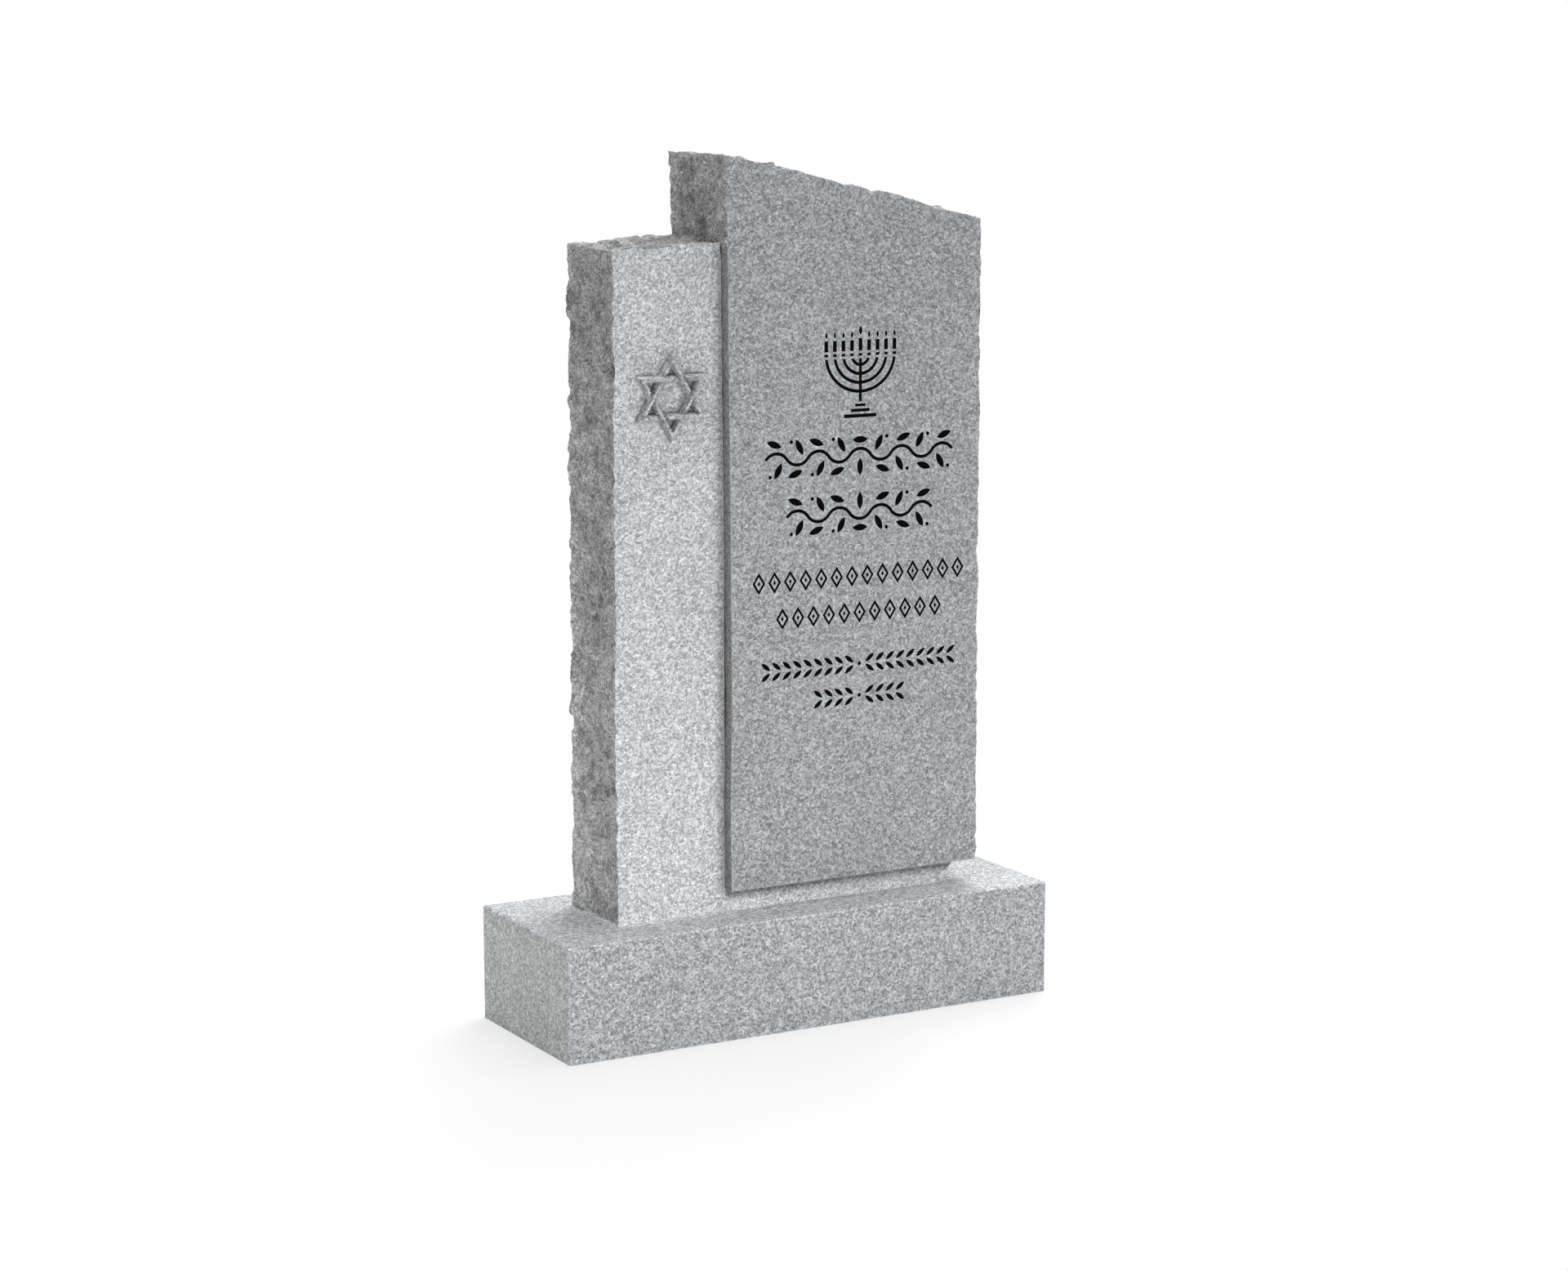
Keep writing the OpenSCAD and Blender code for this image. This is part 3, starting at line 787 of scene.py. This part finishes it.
def build_tablet():
    outline, *holes = flat_loops("tablet", TABLET_FACE_Y)
    left, right, top = TABLET[0].x, TABLET[1].x, TABLET[1].z

    def in_left_zone(point):
        return point.x < left + LEFT_ZONE

    def above_wing(point):
        """0 as far up as the wing is whole, and 1 from just under its top on."""
        return smooth(point.y, WING_TOP - TOP_BAND, WING_TOP - TALL_FROM)

    def rough_at(point):
        above_foot = point.y > TABLET_FOOT + ON_SIDE
        if in_left_zone(point) and above_foot:
            return above_wing(point)
        on_right = point.x > right - ON_SIDE and above_foot
        on_top = point.y > top - TOP_ZONE and point.x > left + LEFT_ZONE
        return 1.0 if on_right or on_top else 0.0

    def finish_at(point):
        if rough_at(point) > 0.5:
            return 1
        # the left side, standing out of the wing, gets the dark painted-shade copy
        return 2 if in_left_zone(point) else 0

    def lean_at(point, back):
        share = above_wing(point) * (1 - smooth(point.x, left, left + TALL_SWELL_REACH))
        swell = TALL_SWELL[0] + (TALL_SWELL[1] - TALL_SWELL[0]) * back
        return Vector((-swell, TALL_LIFT * back)) * share

    points = resampled(outline, lambda point: STEP if rough_at(point) else FLAT_STEP)
    move = mover(rough_at, TABLET, TABLET_FACE_Y, BACK_Y, TABLET_SEED, lean_at=lean_at)
    engraving_floor_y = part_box("menorah_stem")[1].y
    piece = slab("tablet_rock_pitched", points, TABLET_FACE_Y, BACK_Y, move, finish_at,
                 [STEELED, BROKEN, REVEAL_PAINTED_SHADE], holes, engraving_floor_y)
    ride(piece, "steeled_granite", "tablet")


# ---- the star ----

def star_measures():
    """Middle, radius and relief of the star. Its upright triangle is one and a half radii high."""
    low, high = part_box("star_upright_triangle")
    radius = (high.z - low.z) / 1.5
    return Vector(((low.x + high.x) / 2, high.z - radius)), radius, high.y - low.y


def towards(degrees):
    """The unit vector at an angle from the right, anticlockwise."""
    angle = math.radians(degrees)
    return Vector((math.cos(angle), math.sin(angle)))


def corner(radius, k, turn):
    return towards(90 + 120 * k + turn) * radius


def passes_under(p, inner_radius, turn):
    """0 where a point of a band lies under the other triangle's band, 1 clear of it."""
    clear = 1.0
    for k in range(3):
        away = abs(p.dot(towards(30 + 120 * k + turn + 180)) - inner_radius)
        clear = min(clear, smooth(away, STAR_BAND / 2, STAR_BAND / 2 + STAR_SLOPE))
    return clear


def build_star(name, turn, node):
    """One triangle of ridged bands. Each side dips under the other triangle at its first crossing."""
    middle, radius, relief = star_measures()
    rows = [(0, 0), (0, STAR_WALL), (STAR_TOP[0], relief), (STAR_TOP[1], relief), (1, STAR_WALL), (1, 0)]
    vertices, faces = [], []
    for k in range(3):
        for i in range(STAR_STEPS):
            along = i / STAR_STEPS
            for inset, height in rows:
                corner_radius = radius - 2 * STAR_BAND * inset
                p = corner(corner_radius, k, turn).lerp(corner(corner_radius, k + 1, turn), along)
                if along < 0.5 and height:
                    clear = passes_under(p, (radius - STAR_BAND) / 2, turn)
                    height *= STAR_DIP + (1 - STAR_DIP) * clear
                vertices.append(Vector((middle.x + p.x, WING_FACE_Y - height, middle.y + p.y)))
    count, width = 3 * STAR_STEPS, len(rows)
    for i in range(count):
        faces += between(run(i * width, width), run((i + 1) % count * width, width))
    piece = new_piece(name, vertices, faces, [CARVED], [0] * len(faces), [False] * len(faces))
    bevel = piece.modifiers.new("soft_edges", "BEVEL")
    bevel.width = STAR_EASE
    bevel.segments = 2
    bevel.limit_method = "ANGLE"
    bevel.angle_limit = STAR_EASE_ANGLE
    ride(piece, "carved_granite", node)


def paint_cad():
    """Finishes the CAD nodes that stay: the black in the engraving."""
    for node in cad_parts.values():
        materials = node.data.materials
        if materials and materials[0].name.startswith("black_filling"):
            materials[0] = PAINT


# ---- the studio ----

def build_floor():
    mesh = bpy.data.meshes.new("studio_floor")
    half = FLOOR_HALF
    corners = [(-half, -half, 0), (half, -half, 0), (half, half, 0), (-half, half, 0)]
    mesh.from_pydata(corners, [], [(0, 1, 2, 3)])
    floor = bpy.data.objects.new("studio_floor", mesh)
    bpy.context.scene.collection.objects.link(floor)
    mesh.materials.append(floor_material("studio_floor_white"))


def floor_material(name):
    """A pale floor that fades to the white of the backdrop a little way off, and keeps the shadow."""
    g = Graph(bpy.data.materials.new(name))
    place = g.node("ShaderNodeTexCoord").outputs["Object"]
    patches = g.noise(place, FLOOR_PATCH, 2.0)["Fac"]
    g.feed(g.shader.inputs["Base Color"], g.greys(patches, [(0.3, 0.86), (0.7, 0.88)]))
    g.shader.inputs["Roughness"].default_value = 0.9
    glow = g.node("ShaderNodeEmission", {"Color": WHITE, "Strength": 1.0})
    fade = g.mapped(g.vector("LENGTH", place), FADE_START, FADE_END, GLOW_NEAR, 1.0,
                    interpolation_type="SMOOTHSTEP")
    seen = g.node("ShaderNodeLightPath").outputs["Is Camera Ray"]
    mix = g.node("ShaderNodeMixShader", {
        "Fac": g.math("MULTIPLY", seen, fade), 1: g.shader.outputs[0], 2: glow.outputs[0]})
    g.feed(g.tree.nodes["Material Output"].inputs["Surface"], mix.outputs[0])
    return g.owner


def build_world():
    """White to the camera and in reflections, and a dim light on everything else."""
    g = Graph(bpy.data.worlds.new("studio_world"), "Background")
    bpy.context.scene.world = g.owner
    g.shader.inputs["Color"].default_value = WHITE
    g.shader.inputs["Strength"].default_value = AMBIENT
    white = g.node("ShaderNodeBackground", {"Color": WHITE, "Strength": 1.0})
    ray = g.node("ShaderNodeLightPath").outputs
    shiny = g.math("MAXIMUM", ray["Is Glossy Ray"], ray["Is Transmission Ray"])
    seen = g.math("MAXIMUM", ray["Is Camera Ray"], shiny)
    mix = g.node("ShaderNodeMixShader", {"Fac": seen, 1: g.shader.outputs[0], 2: white.outputs[0]})
    g.feed(g.tree.nodes["World Output"].inputs["Surface"], mix.outputs[0])


def build_lamp(name, place, size, power):
    data = bpy.data.lights.new(name, "AREA")
    data.shape = "DISK"
    data.size = size
    data.energy = power
    lamp = bpy.data.objects.new(name, data)
    lamp.location = place
    lamp.visible_camera = False
    lamp.rotation_euler = (LAMP_AIM - Vector(place)).to_track_quat("-Z", "Y").to_euler()
    bpy.context.scene.collection.objects.link(lamp)


def build_camera():
    data = bpy.data.cameras.new("photo_camera")
    data.sensor_width = SENSOR
    data.lens = LENS
    camera = bpy.data.objects.new("photo_camera", data)
    camera.location = CAMERA_PLACE
    camera.rotation_euler = (math.radians(CAMERA_TILT), 0, math.radians(CAMERA_TURN))
    bpy.context.scene.collection.objects.link(camera)
    bpy.context.scene.camera = camera


build_camera()
paint_cad()
build_base()
build_wing()
build_tablet()
build_star("star_upright_bands", 0, "star_upright_triangle")
build_star("star_inverted_bands", 180, "star_inverted_triangle")
build_floor()
build_world()
for lamp in LAMPS:
    build_lamp(*lamp)
bpy.context.scene.view_settings.view_transform = "Standard"
